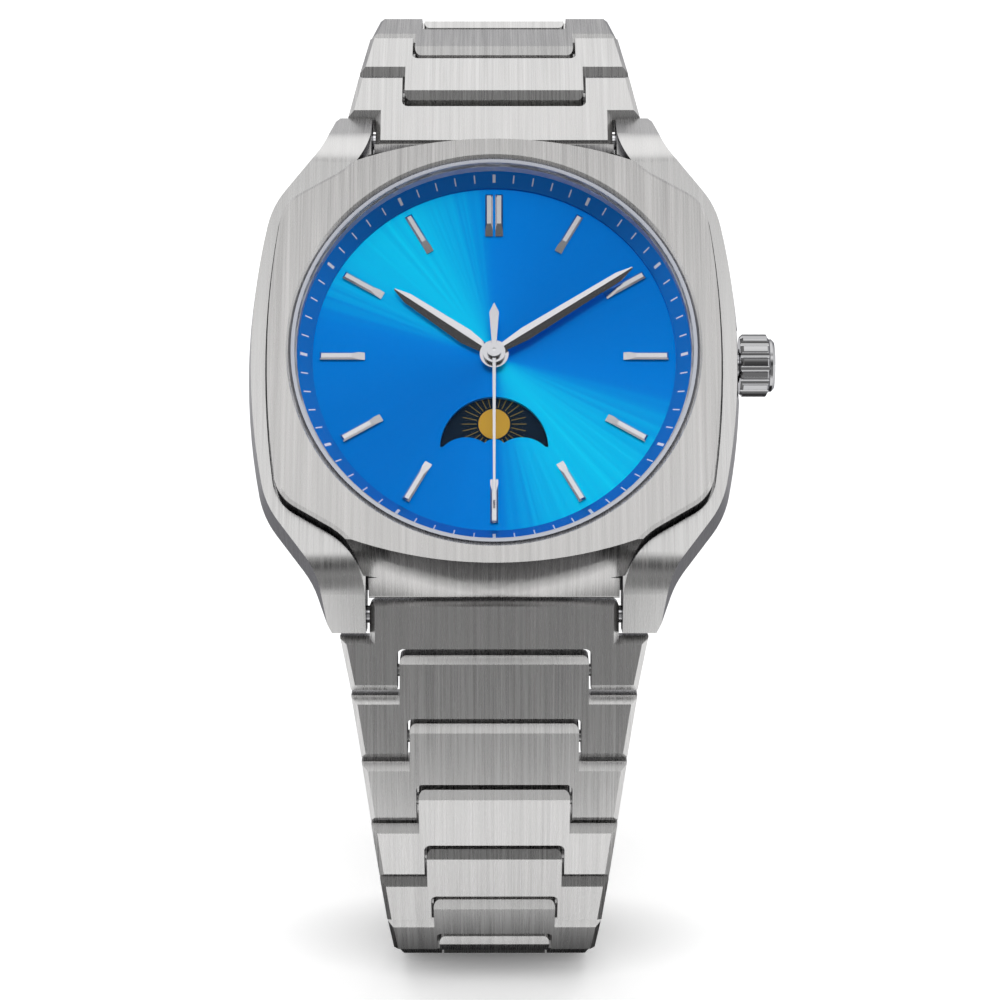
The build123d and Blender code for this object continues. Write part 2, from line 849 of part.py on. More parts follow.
def end_link():
    """The link between the lugs: a broad head on the lug bar, with ears that spread behind the lugs."""
    shoulder = end_link_bar_back + end_link_gap
    ear_end = end_link_length + link_knuckle
    plate = tapered_plate(shoulder, ear_end, band_width(0), band_width(1), link_shoulder_bevel)
    head_width = lug_gap - 2 * end_link_side_gap
    root = shoulder + link_fill
    head = side_prism(
        bevelled_profile(-end_link_front, root + link_end_bevel, end_link_front_bevel, link_end_bevel),
        head_width / 2,
    )
    head &= plan_prism(rounded_end(head_width, -end_link_front, root))
    head = chamfer(long_edges(head.faces().sort_by(Axis.Z)[-1]), link_side_bevel)
    body = plate + head - rod_x(lug_bar_radius + pin_clearance, -far, far, 0, 0)
    body = cut_notch(body, notch_width(0), end_link_length, ear_end)
    return [body, pin_across(band_width(1), end_link_length)]


def band_place(side, tilt, pivot):
    """The place of a flat-drawn link: its pivot as (y, z), its tilt and the side of the case."""
    y, z = pivot
    if side == 1:
        return Location((0, y, z), (-tilt, 0, 0))
    return Location((0, y, z), (tilt, 0, 0)) * Location((0, 0, 0), (0, 0, 180))


def chain_pivots(side, tilts):
    """The upper pivot of each link, then the free pivot of the last one."""
    first = step((side * lug_bar[0], lug_bar[1]), (along(end_link_tilts[side], side), end_link_length))
    pivots = [first]
    for tilt in tilts:
        pivots.append(step(pivots[-1], (along(tilt, side), link_pitch)))
    return pivots


six_pivots = chain_pivots(-1, six_side_tilts)
twelve_pivots = chain_pivots(1, twelve_side_tilts)
cover_start = six_pivots[-1]
cover_dy = twelve_pivots[-1][0] - cover_start[0]
cover_dz = twelve_pivots[-1][1] - cover_start[1]
cover_length = hypot(cover_dy, cover_dz)
cover_tilt = degrees(atan2(-cover_dz, -cover_dy)) % 360


# Clasp pieces, drawn flat from the cover's pivot on the last 6 o'clock link

cover_low = link_stand_off
cover_high = cover_length - link_stand_off
plate_under_z = half_thick - cover_plate
far_fold_y = cover_length - far_fold_back
far_fold_z = plate_under_z - fold_gap - fold_barrel_radius
near_fold_y = cover_length * near_fold_share
near_fold_z = far_fold_z - fold_barrel_radius
middle_top_z = far_fold_z + fold_barrel_radius / 2
inner_low_z = near_fold_z - fold_barrel_radius - blade_thickness / 2
clasp_last = len(six_side_tilts) + 1


def clasp_cover():
    """The outer shell of the clasp: a bowed plate with two walls and a tongue for the first pin."""
    top = Polyline(
        (cover_high, half_thick),
        (cover_high, plate_under_z),
        (cover_low, plate_under_z),
        (cover_low, half_thick),
    )
    crest = ((cover_low + cover_high) / 2, half_thick + cover_crown)
    bow = ThreePointArc((cover_low, half_thick), crest, (cover_high, half_thick))
    body = side_prism(make_face([top, bow]), cover_width / 2)
    edges = [e for e in body.edges() if e.center().Z > half_thick]
    edges = [e for e in edges if abs(e.tangent_at(0).X) < across_share]
    body = chamfer(edges, link_side_bevel)
    for side in (1, -1):
        x0, x1 = sorted((side * cover_width / 2, side * (cover_width / 2 - cover_wall)))
        body += block(x0, x1, cover_low, cover_high, -half_thick, half_thick)
    inside = cover_width / 2 - cover_wall
    body += block(-inside, inside, cover_low, cover_low + cover_root, -half_thick, half_thick)
    body += knuckle_tongue(tongue_width(clasp_last), link_stand_off + link_fill)
    nose_room = rounded_end(notch_width(clasp_last - 1), far_fold_y - nose_clearance, far)
    body -= extrude(nose_room, far, both=True)
    body -= rod_x(fold_pin_radius, -far, far, far_fold_y, far_fold_z)
    body -= rod_x(pusher_radius + pin_clearance, -far, far, pusher_y, pusher_z)
    pin_half = cover_width / 2 - pin_recess
    return body, rod_x(fold_pin_radius, -pin_half, pin_half, far_fold_y, far_fold_z)


pusher_y = cover_length * pusher_share
pusher_z = plate_under_z - pusher_flange_radius - pin_clearance


def middle_blade():
    """The upper blade, hinged to the cover at its far end and to the inner blade at the near end."""
    strip_top = middle_top_z
    strip_low = strip_top - blade_thickness
    clear = near_fold_y + fold_barrel_radius + fold_gap
    strip = block(-blade_width / 2, blade_width / 2, clear, far_fold_y, strip_low, strip_top)
    knuckle = blade_width / 2 * blade_knuckle_share
    strip += block(-knuckle, knuckle, near_fold_y, clear, strip_low, strip_top)
    strip += rod_x(fold_barrel_radius, -knuckle, knuckle, near_fold_y, near_fold_z)
    barrel_half = cover_width / 2 - cover_wall - link_side_gap
    strip += rod_x(fold_barrel_radius, -barrel_half, barrel_half, far_fold_y, far_fold_z)
    strip -= rod_x(fold_pin_radius + pin_clearance, -far, far, far_fold_y, far_fold_z)
    strip -= rod_x(fold_pin_radius, -far, far, near_fold_y, near_fold_z)
    pin_half = blade_width / 2 - pin_recess
    return strip, rod_x(fold_pin_radius, -pin_half, pin_half, near_fold_y, near_fold_z)


def inner_blade():
    """The blade nearest the wrist, whose far eye meets the last 12 o'clock link."""
    low, top = inner_low_z, inner_low_z + blade_thickness
    knuckle = blade_width / 2 * blade_knuckle_share + link_side_gap
    clear = near_fold_y + fold_barrel_radius + fold_gap
    rise = cover_length - blade_rise_back
    nose_half = blade_neck_width / 2
    shoulder = far_fold_y - nose_start_back
    strip = block(-blade_width / 2, blade_width / 2, clear, shoulder, low, top)
    strip += block(-nose_half, nose_half, shoulder, rise, low, top)
    for side in (1, -1):
        x0, x1 = sorted((side * knuckle, side * blade_width / 2))
        strip += block(x0, x1, near_fold_y, clear, low, top)
        strip += rod_x(fold_barrel_radius, x0, x1, near_fold_y, near_fold_z)
    neck = Polygon(
        (rise - overrun, low),
        (rise, low),
        (cover_length, -blade_eye_radius),
        (cover_length, 0),
        (rise, top),
        (rise - overrun, top),
    )
    strip += side_prism(neck, nose_half)
    strip += rod_x(blade_eye_radius, -nose_half, nose_half, cover_length, 0)
    strip -= rod_x(fold_pin_radius + pin_clearance, -far, far, near_fold_y, near_fold_z)
    strip -= rod_x(eye_bar_radius, -far, far, cover_length, 0)
    return [strip, rod_x(eye_bar_radius, -nose_half, nose_half, cover_length, 0)]


def pusher(side):
    """A clasp push button: a round pin through the cover's wall with a flange inside."""
    wall_in = cover_width / 2 - cover_wall
    x0, x1 = sorted((side * (wall_in - pusher_flange), side * (cover_width / 2 + pusher_stand_out)))
    f0, f1 = sorted((side * (wall_in - pusher_flange), side * wall_in))
    body = rod_x(pusher_radius, x0, x1, pusher_y, pusher_z)
    return body + rod_x(pusher_flange_radius, f0, f1, pusher_y, pusher_z)


# Placing: dial frame to standing frame. The watch rests on the end edge of the link before the foot link,
# whose corner reaches a little lower than the foot link's face. The origin lies on that floor.

foot_bend = radians(foot_tilt - six_side_tilts[foot_link - 2])
foot_reach = half_thick * cos(foot_bend) + (link_knuckle - link_end_bevel) * sin(foot_bend)
foot_y, foot_z = step(
    six_pivots[foot_link - 1],
    (along(foot_tilt, -1), link_pitch / 2),
    (outward(foot_tilt, -1), foot_reach),
)
upright = Location((0, 0, 0), (90 - stand_tilt, 0, 0))
foot_point = upright * Pos(0, foot_y, foot_z)
stand = Pos(0, -foot_point.position.Y, -foot_point.position.Z) * upright


def gather():
    pieces = {
        "case_middle": case_middle(),
        "bezel": bezel(),
        "crystal": crystal(),
        "crystal_gasket": crystal_gasket(),
        "chapter_ring": chapter_ring(),
        "dial": dial(),
        "hour_markers": hour_markers(),
        "moon_disc": moon_disc(),
        "moon_foils": moon_foils(),
        "hour_hand": hour_hand(),
        "minute_hand": minute_hand(),
        "seconds_hand": seconds_hand(),
        "hour_wheel": hour_wheel(),
        "cannon_pinion": cannon_pinion(),
        "seconds_arbor": seconds_arbor(),
        "movement_mainplate": movement_mainplate(),
        "movement_bridge": movement_bridge(),
        "movement_holder": movement_holder(),
        "battery": battery(),
        "motor_coil": motor_coil(),
        "case_back": case_back(),
        "case_back_gasket": case_back_gasket(),
        "crown": crown(),
        "crown_stem": crown_stem(),
        "crown_tube": crown_tube(),
        "setting_lever": setting_lever(),
        "lug_bars": lug_bars(),
    }
    for side, name, tilts, pivots in (
        (1, "twelve", twelve_side_tilts, twelve_pivots),
        (-1, "six", six_side_tilts, six_pivots),
    ):
        place = band_place(side, end_link_tilts[side], (side * lug_bar[0], lug_bar[1]))
        pieces[f"end_link_{name}"] = [place * piece for piece in end_link()]
        for index, tilt in enumerate(tilts, 1):
            place = band_place(side, tilt, pivots[index - 1])
            pinned = side == -1 or index < len(tilts)
            pieces[f"link_{name}_{index:02d}"] = [place * piece for piece in band_link(index, pinned)]
    place = band_place(-1, cover_tilt, cover_start)
    cover, cover_pin = clasp_cover()
    blade, blade_pin = middle_blade()
    for name, solids in (
        ("clasp_cover", [cover]),
        ("clasp_cover_pin", [cover_pin]),
        ("clasp_middle_blade", [blade]),
        ("clasp_blade_pin", [blade_pin]),
        ("clasp_inner_blade", inner_blade()),
        ("clasp_pusher_left", [pusher(1)]),
        ("clasp_pusher_right", [pusher(-1)]),
    ):
        pieces[name] = [place * solid for solid in solids]
    return pieces


def write(name, piece):
    solids = []
    for item in piece if isinstance(piece, list) else [piece]:
        solids += item.solids()
    placed = [stand * solid for solid in solids]
    shape = placed[0] if len(placed) == 1 else Compound(placed)
    export_step(shape, f"parts/{name}.step")


os.makedirs("parts", exist_ok=True)
for node, made in gather().items():
    write(node, made)
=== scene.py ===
import math

import bpy
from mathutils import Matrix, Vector

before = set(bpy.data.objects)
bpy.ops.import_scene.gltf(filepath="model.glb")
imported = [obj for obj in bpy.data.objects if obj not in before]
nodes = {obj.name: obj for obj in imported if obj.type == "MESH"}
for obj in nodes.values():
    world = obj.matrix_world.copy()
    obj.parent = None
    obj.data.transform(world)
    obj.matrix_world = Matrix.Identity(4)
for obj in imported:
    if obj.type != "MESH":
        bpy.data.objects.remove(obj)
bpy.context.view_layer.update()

# Camera: a long lens in front of the watch, slightly above the dial and aimed a little down,
# so that the dial fills the upper half of a square picture and the closed bracelet stands below it.
lens = bpy.data.cameras.new("camera")
lens.sensor_width = 36
lens.lens = 104.48
lens.clip_start = 0.01
camera = bpy.data.objects.new("camera", lens)
bpy.context.scene.collection.objects.link(camera)
camera.location = (0, -0.245254, 0.094884)
camera.rotation_euler = (math.radians(77.327), 0, math.radians(-0.117))
bpy.context.scene.camera = camera
bpy.context.scene.view_settings.view_transform = "Standard"


# Studio lamps: a broad soft box above the front, two weak ones at the sides and one overhead.
# They light the dial and throw the shadow. The steel doesn't mirror them: it mirrors the tent and cards below.
def soft_box(name, location, target, width, height, power):
    data = bpy.data.lights.new(name, "AREA")
    data.shape = "RECTANGLE"
    data.size = width
    data.size_y = height
    data.energy = power
    lamp = bpy.data.objects.new(name, data)
    bpy.context.scene.collection.objects.link(lamp)
    lamp.location = location
    aim = Vector(target) - Vector(location)
    lamp.rotation_euler = aim.to_track_quat("-Z", "Y").to_euler()
    lamp.visible_camera = False
    lamp.visible_glossy = False


soft_box("top box", (0, -0.42, 0.45), (0, 0, 0.05), 0.42, 0.28, 0.38)
soft_box("left box", (-0.42, -0.16, 0.16), (0, 0, 0.04), 0.14, 0.50, 0.02)
soft_box("right box", (0.42, -0.16, 0.16), (0, 0, 0.04), 0.14, 0.50, 0.02)
soft_box("overhead box", (0, 0.10, 0.70), (0, 0.05, 0), 0.70, 0.60, 1.1)

# Surround: white where it is looked at, straight, in a mirror or through glass, and half as strong
# where it lights a dull surface, so that the colours of the watch stay as they are.
world = bpy.data.worlds.new("surround")
bpy.context.scene.world = world
world.use_nodes = True
tree = world.node_tree
lighting = tree.nodes["Background"]
lighting.inputs["Color"].default_value = (1, 1, 1, 1)
lighting.inputs["Strength"].default_value = 0.5
backdrop = tree.nodes.new("ShaderNodeBackground")
backdrop.inputs["Color"].default_value = (1, 1, 1, 1)
backdrop.inputs["Strength"].default_value = 1.0
path = tree.nodes.new("ShaderNodeLightPath")
shown = path.outputs["Is Camera Ray"]
for kind in ("Is Glossy Ray", "Is Transmission Ray"):
    either = tree.nodes.new("ShaderNodeMath")
    either.operation = "MAXIMUM"
    tree.links.new(shown, either.inputs[0])
    tree.links.new(path.outputs[kind], either.inputs[1])
    shown = either.outputs["Value"]
mix = tree.nodes.new("ShaderNodeMixShader")
tree.links.new(shown, mix.inputs["Fac"])
tree.links.new(lighting.outputs["Background"], mix.inputs[1])
tree.links.new(backdrop.outputs["Background"], mix.inputs[2])
tree.links.new(mix.outputs["Shader"], tree.nodes["World Output"].inputs["Surface"])

# Floor: plain white, with a painted glow of its own that is missing at the foot of the watch and grows away
# from it, so that it runs out to pure white and keeps the watch's shadow. The dark spot left at the foot is a
# painted shadow that stays there wherever the watch stands, on top of the watch's cast shadow.
floor_size = 6
painted_glow_lifts = ((0.002, 0.012, 0.44), (0.05, 0.60, 0.26))  # where each lift starts and ends, and its strength
bpy.ops.mesh.primitive_plane_add(size=floor_size, location=(0, 0, 0))
floor = bpy.context.active_object
floor.name = "floor"
floor_paint = bpy.data.materials.new("floor white")
floor_paint.use_nodes = True
tree = floor_paint.node_tree
shader = tree.nodes["Principled BSDF"]
shader.inputs["Base Color"].default_value = (0.95, 0.95, 0.95, 1)
shader.inputs["Roughness"].default_value = 0.9
shader.inputs["Emission Color"].default_value = (1, 1, 1, 1)
place = tree.nodes.new("ShaderNodeTexCoord")
squeeze = tree.nodes.new("ShaderNodeVectorMath")
squeeze.operation = "MULTIPLY"
squeeze.inputs[1].default_value = (0.6, 1, 1)
distance = tree.nodes.new("ShaderNodeVectorMath")
distance.operation = "LENGTH"
tree.links.new(place.outputs["Object"], squeeze.inputs[0])
tree.links.new(squeeze.outputs["Vector"], distance.inputs[0])
# Painted shadow: the floor's own glow is zero within 2 mm of the point under the watch's foot and full from 12
# mm on, a spot wider across than deep.
painted_glow = tree.nodes.new("ShaderNodeMath")
for index, (start, end, strength) in enumerate(painted_glow_lifts):
    climb = tree.nodes.new("ShaderNodeMapRange")
    climb.inputs["From Min"].default_value = start
    climb.inputs["From Max"].default_value = end
    climb.inputs["To Max"].default_value = strength
    tree.links.new(distance.outputs["Value"], climb.inputs["Value"])
    tree.links.new(climb.outputs["Result"], painted_glow.inputs[index])
tree.links.new(painted_glow.outputs["Value"], shader.inputs["Emission Strength"])
floor.data.materials.append(floor_paint)


# Light tent: a curved sheet over the watch, bright and dark in bands, as a photo studio hangs one over
# polished steel. Only mirrors see it. Each band is an angle up from the front and the brightness there.
def own_place(thing):
    """A new material on a stage piece, and the place on it along each of its own axes."""
    material = bpy.data.materials.new("stage glow")
    material.use_nodes = True
    tree = material.node_tree
    tree.nodes.remove(tree.nodes["Principled BSDF"])
    thing.data.materials.append(material)
    split = tree.nodes.new("ShaderNodeSeparateXYZ")
    tree.links.new(tree.nodes.new("ShaderNodeTexCoord").outputs["Object"], split.inputs[0])
    return tree, split.outputs


def glow(thing, name, fraction, shades):
    """Give a stage piece its own light, shaded by a fraction that runs from 0 to 1."""
    strength = 1.5
    tree = thing.data.materials[0].node_tree
    ramp = tree.nodes.new("ShaderNodeValToRGB")
    tree.links.new(fraction, ramp.inputs["Fac"])
    stops = ramp.color_ramp.elements
    stops.remove(stops[1])
    for index, (position, value) in enumerate(shades):
        stop = stops[0] if index == 0 else stops.new(position)
        stop.position = position
        stop.color = (value / strength, value / strength, value / strength, 1)
    light = tree.nodes.new("ShaderNodeEmission")
    light.inputs["Strength"].default_value = strength
    tree.links.new(ramp.outputs["Color"], light.inputs["Color"])
    tree.links.new(light.outputs["Emission"], tree.nodes["Material Output"].inputs["Surface"])
    thing.name = name
    thing.visible_camera = False
    thing.visible_diffuse = False
    thing.visible_shadow = False


bands = ((0, 0.33), (8, 0.22), (14, 0.07), (24, 0.12), (33, 0.55), (40, 1.10), (48, 1.30), (57, 0.52),
         (64, 0.80), (72, 1.25), (118, 1.25), (135, 1.05), (150, 1.00), (180, 0.90))
tent_radius, tent_length, tent_height = 0.62, 1.8, 0.05
bpy.ops.mesh.primitive_cylinder_add(vertices=128, radius=tent_radius, depth=tent_length,
                                    end_fill_type="NOTHING", location=(0, 0, tent_height),
                                    rotation=(0, math.radians(90), 0))
tent = bpy.context.active_object
tree, (tent_x, tent_y, tent_z) = own_place(tent)
turn = tree.nodes.new("ShaderNodeMath")
turn.operation = "ARCTAN2"
for socket, source in ((0, tent_x), (1, tent_y)):
    flip = tree.nodes.new("ShaderNodeMath")
    flip.operation = "MULTIPLY"
    flip.inputs[1].default_value = -1
    tree.links.new(source, flip.inputs[0])
    tree.links.new(flip.outputs["Value"], turn.inputs[socket])
share = tree.nodes.new("ShaderNodeMath")
share.operation = "DIVIDE"
share.inputs[1].default_value = math.pi
tree.links.new(turn.outputs["Value"], share.inputs[0])
glow(tent, "light tent", share.outputs["Value"], [(angle / 180, value) for angle, value in bands])


# Cards: flat glowing sheets on the floor that only mirrors see, as painted reflections: grey in front, white
# near the watch and a painted shade under it. Each shade is a share of the way from the front edge to the back
# edge, and the brightness there.
def card(name, half_width, front, back, height, shades):
    bpy.ops.mesh.primitive_plane_add(size=1, location=(0, (front + back) / 2, height))
    made = bpy.context.active_object
    made.scale = (2 * half_width, back - front, 1)
    tree, (across, along, up) = own_place(made)
    run = tree.nodes.new("ShaderNodeMath")
    run.inputs[1].default_value = 0.5
    tree.links.new(along, run.inputs[0])
    glow(made, name, run.outputs["Value"], shades)


card("floor card", 0.40, -0.60, -0.10, 0.0005, ((0.0, 0.26), (1.0, 0.27)))
card("blend card", 0.40, -0.10, -0.062, 0.0004, ((0.0, 0.27), (1.0, 1.0)))
card("near card", 0.0145, -0.10, -0.045, 0.0005, ((0.0, 0.27), (0.75, 0.45), (1.0, 1.0)))
# The shadow card is a painted shade: a dark sheet under the watch that the lower links mirror, brighter again
# far behind it.
card("shadow card", 0.030, -0.017, 0.150, 0.0005,
     ((0.0, 0.70), (0.018, 0.25), (0.036, 0.05), (0.06, 0.02), (0.35, 0.05), (0.46, 0.60), (1.0, 1.0)))


# Case middle and bezel: stainless steel. The case is satin, and the bezel block over it is brushed
# from 12 to 6 o'clock, so its scratches vary quickly across the watch and slowly along it.
def paint(name, colour, metallic, roughness):
    made = bpy.data.materials.new(name)
    made.use_nodes = True
    shader = made.node_tree.nodes["Principled BSDF"]
    shader.inputs["Base Color"].default_value = (*colour, 1)
    shader.inputs["Metallic"].default_value = metallic
    shader.inputs["Roughness"].default_value = roughness
    return made, shader


def add(material, kind, inputs, **settings):
    """A node with its settings, and each input joined to a socket or set to a value."""
    node = material.node_tree.nodes.new(kind)
    for key, value in settings.items():
        setattr(node, key, value)
    for key, value in inputs.items():
        if isinstance(value, bpy.types.NodeSocket):
            material.node_tree.links.new(value, node.inputs[key])
        else:
            node.inputs[key].default_value = value
    return node


def weaken_edge_shine(shader):
    """Steel under a tent shows less white where it is seen at a flat angle."""
    shader.inputs["Specular Tint"].default_value = (0.30, 0.30, 0.32, 1)


def brushed(name, colour, roughness, depth, grain, wall_share_after_painted_shade):
    """Brushed steel: the depth of its scratches, how strongly they differ in tone, and the share of its colour
    that is left on walls that stand upright from the dial, where it is darkened as a painted shade."""
    fine_scratches = (9000, 110, 110)  # patches per metre across the watch, along it and out of it
    broad_scratches = (2600, 40, 40)
    scratch_height = 0.00002
    wall, face = 0.35, 0.55  # how far a wall and a face look out of the dial, as a cosine
    out_of_dial = (0, -0.866, 0.5)
    made, shader = paint(name, colour, 1.0, roughness)
    weaken_edge_shine(shader)
    coordinates = add(made, "ShaderNodeTexCoord", {})
    place = coordinates.outputs["Object"]
    fine = add(made, "ShaderNodeMapping", {"Vector": place, "Scale": fine_scratches}).outputs["Vector"]
    broad = add(made, "ShaderNodeMapping", {"Vector": place, "Scale": broad_scratches}).outputs["Vector"]
    scratch = add(made, "ShaderNodeTexNoise", {"Vector": fine, "Scale": 1.0, "Detail": 3.0}).outputs["Fac"]
    band = add(made, "ShaderNodeTexNoise", {"Vector": broad, "Scale": 1.0, "Detail": 2.0}).outputs["Fac"]
    both = add(made, "ShaderNodeMath", {0: scratch, 1: band}, operation="ADD").outputs[0]
    tone = add(made, "ShaderNodeMapRange", {"Value": both, "From Min": 0.6, "From Max": 1.4,
                                            "To Min": 1 - 0.16 * grain, "To Max": 1 + 0.14 * grain})
    tint = add(made, "ShaderNodeVectorMath", {0: colour, "Scale": tone.outputs["Result"]}, operation="SCALE")
    rise = add(made, "ShaderNodeVectorMath", {0: coordinates.outputs["Normal"], 1: out_of_dial},
               operation="DOT_PRODUCT").outputs["Value"]
    # Painted shade: the colour is darkened on walls that stand upright from the dial, down to the given share,
    # as if less light fell there.
    painted_wall_shade = add(made, "ShaderNodeMapRange", {"Value": rise, "From Min": wall, "From Max": face,
                                             "To Min": wall_share_after_painted_shade, "To Max": 1.0})
    tint = add(made, "ShaderNodeVectorMath", {0: tint.outputs["Vector"], "Scale": painted_wall_shade.outputs["Result"]},
               operation="SCALE")
    rough = add(made, "ShaderNodeMapRange", {"Value": scratch, "From Min": 0.3, "From Max": 0.7,
                                             "To Min": roughness - 0.05, "To Max": roughness + 0.07})
    carve = add(made, "ShaderNodeMapRange", {"Value": rise, "From Min": wall, "From Max": face,
                                             "To Max": depth})
    bump = add(made, "ShaderNodeBump", {"Height": scratch, "Strength": carve.outputs["Result"],
                                        "Distance": scratch_height})
    tree = made.node_tree
    tree.links.new(tint.outputs["Vector"], shader.inputs["Base Color"])
    tree.links.new(rough.outputs["Result"], shader.inputs["Roughness"])
    tree.links.new(bump.outputs["Normal"], shader.inputs["Normal"])
    return made


def dress(names, material):
    for name in names:
        nodes[name].data.materials.clear()
        nodes[name].data.materials.append(material)


# Painted shade darkens the upright walls of the case and the bezel to 0.45 of their colour.
satin = brushed("satin steel", (0.62, 0.615, 0.61), roughness=0.24, depth=0.10, grain=0.35, wall_share_after_painted_shade=0.45)
dress(["case_middle"], satin)
bezel_steel = brushed("bezel steel", (0.57, 0.562, 0.556), roughness=0.25, depth=0.30, grain=1.3, wall_share_after_painted_shade=0.45)
dress(["bezel"], bezel_steel)

# Bracelet, folding clasp and case back: stainless steel, brushed along the bracelet on every face.
# The links are cut from bar and turn on pressed pins.
steel = brushed("brushed steel", (0.60, 0.595, 0.59), roughness=0.27, depth=0.35, grain=1.0, wall_share_after_painted_shade=1.0)
links = sorted(name for name in nodes if name.startswith(("link_", "end_link_")))
dress([*links, "clasp_cover", "clasp_middle_blade", "clasp_inner_blade", "case_back"], steel)

# Crown: turned from steel, fluted and polished, and screwed on its stem.
# It is painted a little darker than the other polished parts, a painted shade, so that its flutes stand out.
crown_steel_painted_darker, shader = paint("crown steel", (0.50, 0.50, 0.51), metallic=1.0, roughness=0.07)
weaken_edge_shine(shader)
dress(["crown"], crown_steel_painted_darker)

# Turned and stamped small parts: the crown's stem and tube, lug bars, clasp pins and buttons,
# button cell and movement bridge, all polished steel.
polished, _ = paint("polished steel", (0.74, 0.74, 0.76), metallic=1.0, roughness=0.10)
dress(["crown_stem", "crown_tube", "lug_bars", "clasp_cover_pin", "clasp_blade_pin", "clasp_pusher_left",
       "clasp_pusher_right", "battery", "movement_bridge", "seconds_arbor"], polished)

# Hands and hour bars: faceted and polished steel. The hands are pressed on their tubes and arbor,
# and the bars are set on the dial with feet.
hand_steel, _ = paint("hand steel", (0.70, 0.70, 0.73), metallic=1.0, roughness=0.13)
dress(["hour_hand", "minute_hand", "seconds_hand", "hour_markers"], hand_steel)


# Dial: a brass disc under blue lacquer, brushed outwards from the middle, with fine rays. The two opposite
# fans where it shines are a painted highlight in its colour, at a fixed turn, and it glows a little of its
# own, a painted glow.
def linear(red, green, blue):
    """A colour as it is seen on a screen, turned into the amounts of light that a material takes."""
    return tuple(((c / 255 + 0.055) / 1.055) ** 2.4 if c > 10 else c / 255 / 12.92 for c in (red, green, blue))


def math_node(material, operation, first, second=0.0, third=0.0):
    return add(material, "ShaderNodeMath", {0: first, 1: second, 2: third}, operation=operation).outputs[0]


def dial_axes(material):
    """The place towards 3 o'clock and towards 12 o'clock from the dial's middle, which is tilted back."""
    place = add(material, "ShaderNodeTexCoord", {}).outputs["Object"]
    to_middle = (0, 0.0137181, -0.0546831)
    centred = add(material, "ShaderNodeVectorMath", {0: place, 1: to_middle}, operation="ADD")
    turned = add(material, "ShaderNodeVectorRotate",
                 {"Vector": centred.outputs["Vector"], "Axis": (1, 0, 0), "Angle": math.radians(-60)})
    split = add(material, "ShaderNodeSeparateXYZ", {0: turned.outputs["Vector"]})
    return split.outputs["X"], split.outputs["Y"]


dial_blue, shader = paint("dial blue", linear(0, 110, 205), metallic=1.0, roughness=0.32)
east, north = dial_axes(dial_blue)
angle = math_node(dial_blue, "ARCTAN2", north, east)
# Painted highlight: two opposite bright fans, centred at a fixed turn on the dial, are put into its colour.
painted_highlight_direction = math.radians(129)
painted_fan_highlight = math_node(dial_blue, "COSINE", math_node(dial_blue, "MULTIPLY_ADD", angle, 2.0, -2 * painted_highlight_direction))
rays_per_radian = 26.0
ray_strength, ray_middle = 2.0, 0.75
rays_place = add(dial_blue, "ShaderNodeCombineXYZ",
                 {"X": math_node(dial_blue, "MULTIPLY", angle, rays_per_radian)})
rays = add(dial_blue, "ShaderNodeTexNoise",
           {"Vector": rays_place.outputs[0], "Scale": 1.0, "Detail": 6.0, "Roughness": 0.8})
light = math_node(dial_blue, "MULTIPLY_ADD", rays.outputs["Fac"], ray_strength,
                  math_node(dial_blue, "ADD", painted_fan_highlight, -ray_middle))
# The ramp runs from the plain blue to the pale blue of the painted highlight.
ramp = add(dial_blue, "ShaderNodeValToRGB", {"Fac": math_node(dial_blue, "MULTIPLY_ADD", light, 0.4, 0.4)})
stops = ramp.color_ramp.elements
stops[0].position = 0.0
stops[0].color = (*linear(0, 112, 205), 1)
stops[1].position = 1.0
stops[1].color = (*linear(12, 215, 255), 1)
stops.new(0.60).color = (*linear(0, 128, 225), 1)
dial_blue.node_tree.links.new(ramp.outputs["Color"], shader.inputs["Base Color"])
# Painted glow: the dial gives off a little light in its painted colour, its fans included.
dial_blue.node_tree.links.new(ramp.outputs["Color"], shader.inputs["Emission Color"])
shader.inputs["Emission Strength"].default_value = 0.14
dress(["dial"], dial_blue)


# Chapter ring: a blue lacquered ring that slopes down to the dial, printed with sixty white
# minute ticks, the twelve at the hours broader.
def polar(material, east, north):
    """The angle and the distance of a place from the middle."""
    squares = math_node(material, "ADD", math_node(material, "MULTIPLY", east, east),
                        math_node(material, "MULTIPLY", north, north))
    return math_node(material, "ARCTAN2", north, east), math_node(material, "SQRT", squares)


def from_line(material, angle, radius, count):
    """The distance along the arc from the nearest of so many evenly spaced radial lines."""
    step = 2 * math.pi / count
    part = math_node(material, "DIVIDE", angle, step)
    off = math_node(material, "SUBTRACT", part, math_node(material, "ROUND", part))
    arc = math_node(material, "MULTIPLY", math_node(material, "ABSOLUTE", off), step)
    return math_node(material, "MULTIPLY", arc, radius)


def printed(material, mark, ground, print_colour):
    """Show one colour where the mark is 0 and the other where it is 1."""
    two = add(material, "ShaderNodeMix", {"Factor": mark}, data_type="RGBA")
    two.inputs[6].default_value = (*linear(*ground), 1)
    two.inputs[7].default_value = (*linear(*print_colour), 1)
    shader = material.node_tree.nodes["Principled BSDF"]
    material.node_tree.links.new(two.outputs[2], shader.inputs["Base Color"])


def between(material, inner, radius, outer):
    inside = math_node(material, "LESS_THAN", radius, outer)
    return math_node(material, "MULTIPLY", inside, math_node(material, "GREATER_THAN", radius, inner))


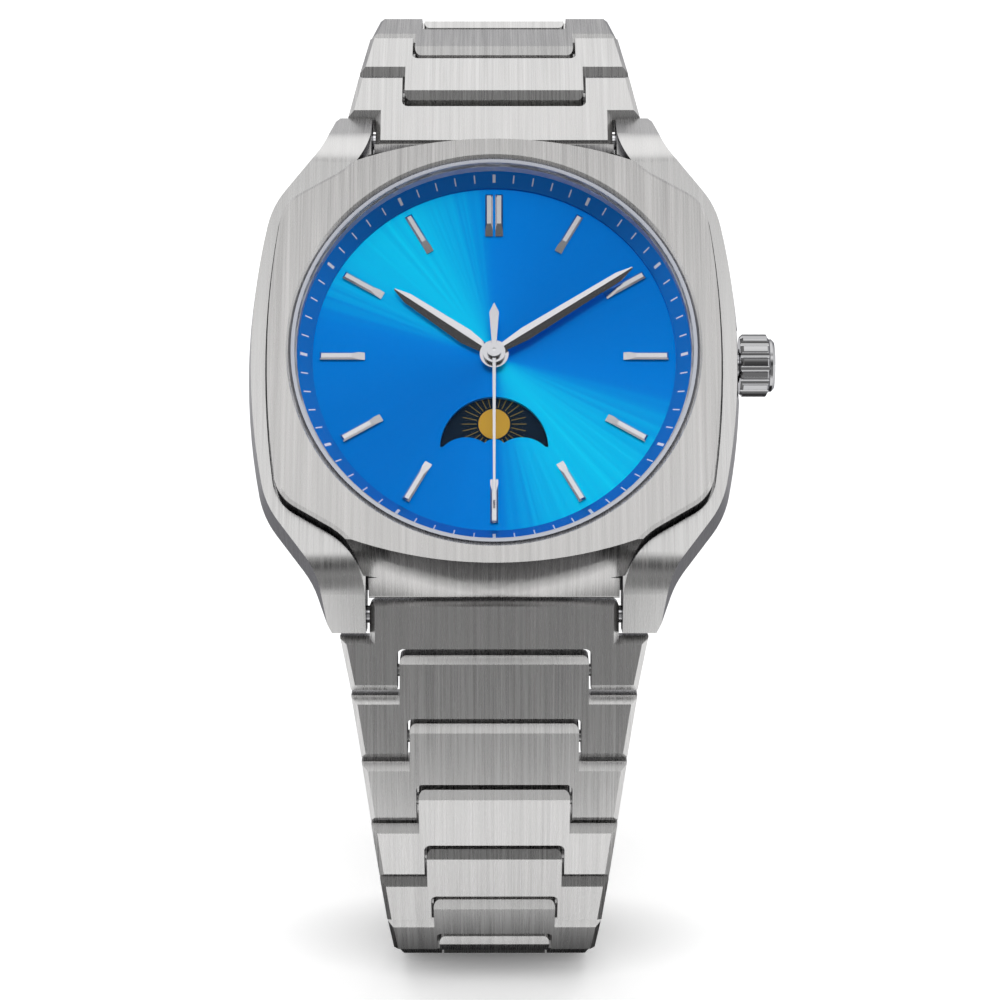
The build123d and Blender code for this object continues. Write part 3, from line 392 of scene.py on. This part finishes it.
ring_blue, _ = paint("ring blue", linear(0, 110, 205), metallic=0.85, roughness=0.35)
angle, radius = polar(ring_blue, *dial_axes(ring_blue))
tick_start, tick_end = 0.01508, 0.01562
minute_half_width, hour_half_width = 0.00005, 0.00012
minute_tick = math_node(ring_blue, "LESS_THAN", from_line(ring_blue, angle, radius, 60), minute_half_width)
hour_tick = math_node(ring_blue, "LESS_THAN", from_line(ring_blue, angle, radius, 12), hour_half_width)
tick = math_node(ring_blue, "MAXIMUM", minute_tick, hour_tick)
mark = math_node(ring_blue, "MULTIPLY", tick, between(ring_blue, tick_start, radius, tick_end))
printed(ring_blue, mark, (0, 112, 205), (230, 232, 244))
dress(["chapter_ring"], ring_blue)

# Moon disc: a disc in night blue that turns once in 59 days, printed with fine gold rays
# around the place where the moon shows.
night, shader = paint("night blue", linear(0, 30, 52), metallic=0.0, roughness=0.4)
shader.inputs["Specular IOR Level"].default_value = 0.1
east, north = dial_axes(night)
moon_below_middle = 0.00555
ray_count, ray_half_width = 28, 0.00003
ray_start, ray_end = 0.00142, 0.0026
angle, radius = polar(night, east, math_node(night, "ADD", north, moon_below_middle))
ray = math_node(night, "LESS_THAN", from_line(night, angle, radius, ray_count), ray_half_width)
mark = math_node(night, "MULTIPLY", ray, between(night, ray_start, radius, ray_end))
printed(night, mark, (0, 30, 52), (150, 130, 60))
dress(["moon_disc"], night)

# Gold foils of the two moons, laid on the disc, and the gilt brass of the wheels, the main plate
# and the setting lever.
gold, _ = paint("gold", linear(214, 168, 62), metallic=0.7, roughness=0.35)
dress(["moon_foils", "hour_wheel", "cannon_pinion", "movement_mainplate", "setting_lever"], gold)

# Crystal: a flat sapphire disc with a coating that takes most of its shine away.
# A clear moulded ring holds it in the bezel.
glass, shader = paint("crystal", (0.01, 0.01, 0.01), metallic=0.0, roughness=0.0)
shader.inputs["Alpha"].default_value = 0.05
shader.inputs["IOR"].default_value = 1.45
dress(["crystal"], glass)

clear_seal, _ = paint("clear gasket", (0.50, 0.52, 0.58), metallic=0.6, roughness=0.25)
dress(["crystal_gasket"], clear_seal)

# Hidden parts of other materials: the case back's rubber ring, the moulded movement holder
# and the motor's copper coil.
rubber, _ = paint("gasket black", (0.01, 0.012, 0.02), metallic=0.0, roughness=0.5)
dress(["case_back_gasket"], rubber)

plastic, _ = paint("holder plastic", (0.7, 0.7, 0.68), metallic=0.0, roughness=0.5)
dress(["movement_holder"], plastic)

copper, _ = paint("coil wire", (0.65, 0.25, 0.1), metallic=1.0, roughness=0.35)
dress(["motor_coil"], copper)
